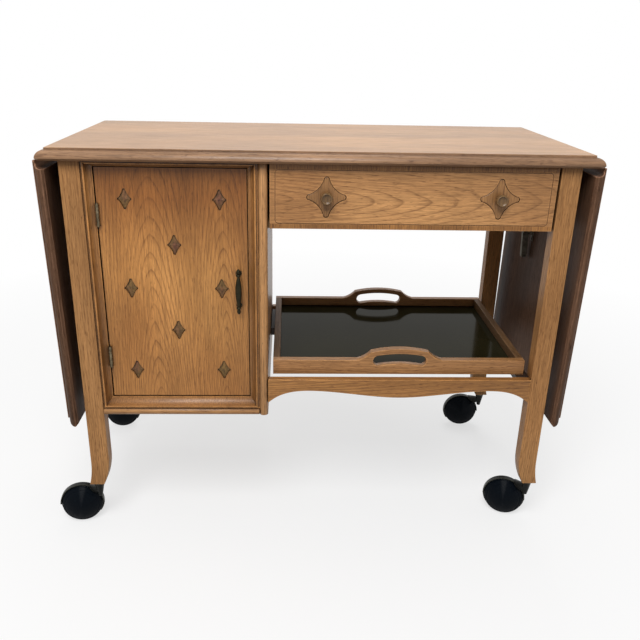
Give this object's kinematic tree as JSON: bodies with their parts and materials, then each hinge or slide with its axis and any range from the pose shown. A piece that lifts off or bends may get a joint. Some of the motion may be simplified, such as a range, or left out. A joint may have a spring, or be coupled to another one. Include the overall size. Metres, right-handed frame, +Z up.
{
  "type": "drop-leaf bar cart",
  "caption": "Rolling wooden server with drop leaves on folding stays, a cupboard, a drawer, a slide-out tray with a black bottom, and ball casters.",
  "frame": {"origin": "middle of the whole cart's box with the leaves hanging, on the floor", "axes": "+Z up, +X to the right seen from the front, front faces -Y"},
  "size_m": [0.978, 0.4434, 0.743],
  "materials": {
    "case_wood": "satin lacquer",
    "inlay_wood": "satin lacquer",
    "inner_wood": "unvarnished",
    "dark_wood": "dark stain",
    "black_laminate": "gloss",
    "plated_steel": "dull plated",
    "brass": "aged",
    "dark_iron": "dark patina",
    "brown_plastic": "matte",
    "bronze_metal": "dark bronze",
    "black_ball": "polished"
  },
  "bodies": {
    "frame": {"cabinet_back": "inner_wood", "cabinet_base_bead": "case_wood", "cabinet_bottom": "case_wood", "cabinet_left_side": "case_wood", "cabinet_right_side": "case_wood", "cabinet_shelf": "inner_wood", "cabinet_stile": "case_wood", "caster_sockets": "plated_steel", "door_catch": "brown_plastic", "door_hinge_frame_leaves": "brass", "door_hinge_pins": "brass", "door_mouldings": "case_wood", "drawer_runners": "inner_wood", "front_left_leg": "case_wood", "front_rail": "case_wood", "front_right_leg": "case_wood", "leaf_hinge_pins": "plated_steel", "leaf_hinge_top_plates": "plated_steel", "rear_apron": "case_wood", "rear_left_leg": "case_wood", "rear_rail": "case_wood", "rear_right_leg": "case_wood", "right_apron": "case_wood", "stay_frame_brackets": "plated_steel", "support_pins": "plated_steel", "top_panel": "case_wood", "tray_bearers": "dark_wood"},
    "left_leaf": {"left_leaf": "case_wood", "left_leaf_hinge_plates": "plated_steel", "left_stay_leaf_bracket": "plated_steel"},
    "right_leaf": {"right_leaf": "case_wood", "right_leaf_hinge_plates": "plated_steel", "right_stay_leaf_bracket": "plated_steel"},
    "left_stay_frame_arm": {"left_stay_frame_arm": "plated_steel"},
    "right_stay_frame_arm": {"right_stay_frame_arm": "plated_steel"},
    "left_stay_leaf_arm": {"left_stay_leaf_arm": "plated_steel"},
    "right_stay_leaf_arm": {"right_stay_leaf_arm": "plated_steel"},
    "door": {"door_panel": "case_wood", "door_lozenges": "inlay_wood", "door_hinge_door_leaves": "brass", "door_pull": "dark_iron", "door_strike": "plated_steel"},
    "drawer": {"drawer_front": "case_wood", "drawer_sides": "inner_wood", "drawer_back": "inner_wood", "drawer_bottom": "inner_wood", "drawer_rosettes": "inlay_wood", "drawer_knobs": "case_wood"},
    "tray": {"tray_front_board": "case_wood", "tray_rear_board": "case_wood", "tray_side_boards": "case_wood", "tray_bottom": "black_laminate"},
    "front_left_caster_swivel": {"front_left_caster_hood": "bronze_metal"},
    "front_left_caster_wheel": {"front_left_caster_wheel": "black_ball"},
    "front_right_caster_swivel": {"front_right_caster_hood": "bronze_metal"},
    "front_right_caster_wheel": {"front_right_caster_wheel": "black_ball"},
    "rear_left_caster_swivel": {"rear_left_caster_hood": "bronze_metal"},
    "rear_left_caster_wheel": {"rear_left_caster_wheel": "black_ball"},
    "rear_right_caster_swivel": {"rear_right_caster_hood": "bronze_metal"},
    "rear_right_caster_wheel": {"rear_right_caster_wheel": "black_ball"}
  },
  "joints": [
    {"name": "left_leaf_fold", "type": "hinge", "parent": "frame", "child": "left_leaf", "pos_m": [-0.43103, -0.01016, 0.723], "axis": [0, 1, 0], "range_deg": [0, 90.9]},
    {"name": "left_stay_frame_pivot", "type": "hinge", "parent": "frame", "child": "left_stay_frame_arm", "pos_m": [-0.41103, 0.03584, 0.651], "axis": [0, 1, 0], "range_deg": [0, 104.61]},
    {"name": "left_stay_leaf_pivot", "type": "hinge", "parent": "left_leaf", "child": "left_stay_leaf_arm", "pos_m": [-0.41533, 0.03584, 0.55122], "axis": [0, -1, 0], "range_deg": [0, 166.29]},
    {"name": "right_leaf_fold", "type": "hinge", "parent": "frame", "child": "right_leaf", "pos_m": [0.46897, -0.01016, 0.723], "axis": [0, -1, 0], "range_deg": [0, 90.9]},
    {"name": "right_stay_frame_pivot", "type": "hinge", "parent": "frame", "child": "right_stay_frame_arm", "pos_m": [0.44897, 0.03584, 0.651], "axis": [0, -1, 0], "range_deg": [0, 104.61]},
    {"name": "right_stay_leaf_pivot", "type": "hinge", "parent": "right_leaf", "child": "right_stay_leaf_arm", "pos_m": [0.45327, 0.03584, 0.55122], "axis": [0, 1, 0], "range_deg": [0, 166.29]},
    {"name": "door_swing", "type": "hinge", "parent": "frame", "child": "door", "pos_m": [-0.35823, -0.19676, 0.4995], "axis": [0, 0, -1], "range_deg": [0, 95]},
    {"name": "drawer_slide", "type": "slide", "parent": "frame", "child": "drawer", "axis": [0, -1, 0], "range_m": [0, 0.28]},
    {"name": "tray_slide", "type": "slide", "parent": "frame", "child": "tray", "axis": [0, -1, 0], "range_m": [0, 0.25]},
    {"name": "front_left_caster_swivel", "type": "hinge", "parent": "frame", "child": "front_left_caster_swivel", "pos_m": [-0.40403, -0.19316, 0.1], "axis": [0, 0, 1], "continuous": true},
    {"name": "front_left_caster_roll", "type": "hinge", "parent": "front_left_caster_swivel", "child": "front_left_caster_wheel", "pos_m": [-0.44593, -0.18017, 0.03933], "axis": [0.1218, -0.9919, 0.0349], "continuous": true},
    {"name": "front_right_caster_swivel", "type": "hinge", "parent": "frame", "child": "front_right_caster_swivel", "pos_m": [0.44197, -0.19316, 0.1], "axis": [0, 0, 1], "continuous": true},
    {"name": "front_right_caster_roll", "type": "hinge", "parent": "front_right_caster_swivel", "child": "front_right_caster_wheel", "pos_m": [0.41053, -0.16257, 0.03933], "axis": [-0.3418, -0.9391, 0.0349], "continuous": true},
    {"name": "rear_left_caster_swivel", "type": "hinge", "parent": "frame", "child": "rear_left_caster_swivel", "pos_m": [-0.40403, 0.17284, 0.1], "axis": [0, 0, 1], "continuous": true},
    {"name": "rear_left_caster_roll", "type": "hinge", "parent": "rear_left_caster_swivel", "child": "rear_left_caster_wheel", "pos_m": [-0.44615, 0.1851, 0.03933], "axis": [0.1391, -0.9897, 0.0349], "continuous": true},
    {"name": "rear_right_caster_swivel", "type": "hinge", "parent": "frame", "child": "rear_right_caster_swivel", "pos_m": [0.44197, 0.17284, 0.1], "axis": [0, 0, 1], "continuous": true},
    {"name": "rear_right_caster_roll", "type": "hinge", "parent": "rear_right_caster_swivel", "child": "rear_right_caster_wheel", "pos_m": [0.40332, 0.19358, 0.03933], "axis": [-0.0697, -0.997, 0.0349], "continuous": true}
  ],
  "couplings": [
    {"joint": "left_stay_frame_pivot", "follows": "left_leaf_fold", "ratio": 1.1509},
    {"joint": "left_stay_leaf_pivot", "follows": "left_leaf_fold", "ratio": 1.8293},
    {"joint": "right_stay_frame_pivot", "follows": "right_leaf_fold", "ratio": 1.1509},
    {"joint": "right_stay_leaf_pivot", "follows": "right_leaf_fold", "ratio": 1.8293}
  ]
}
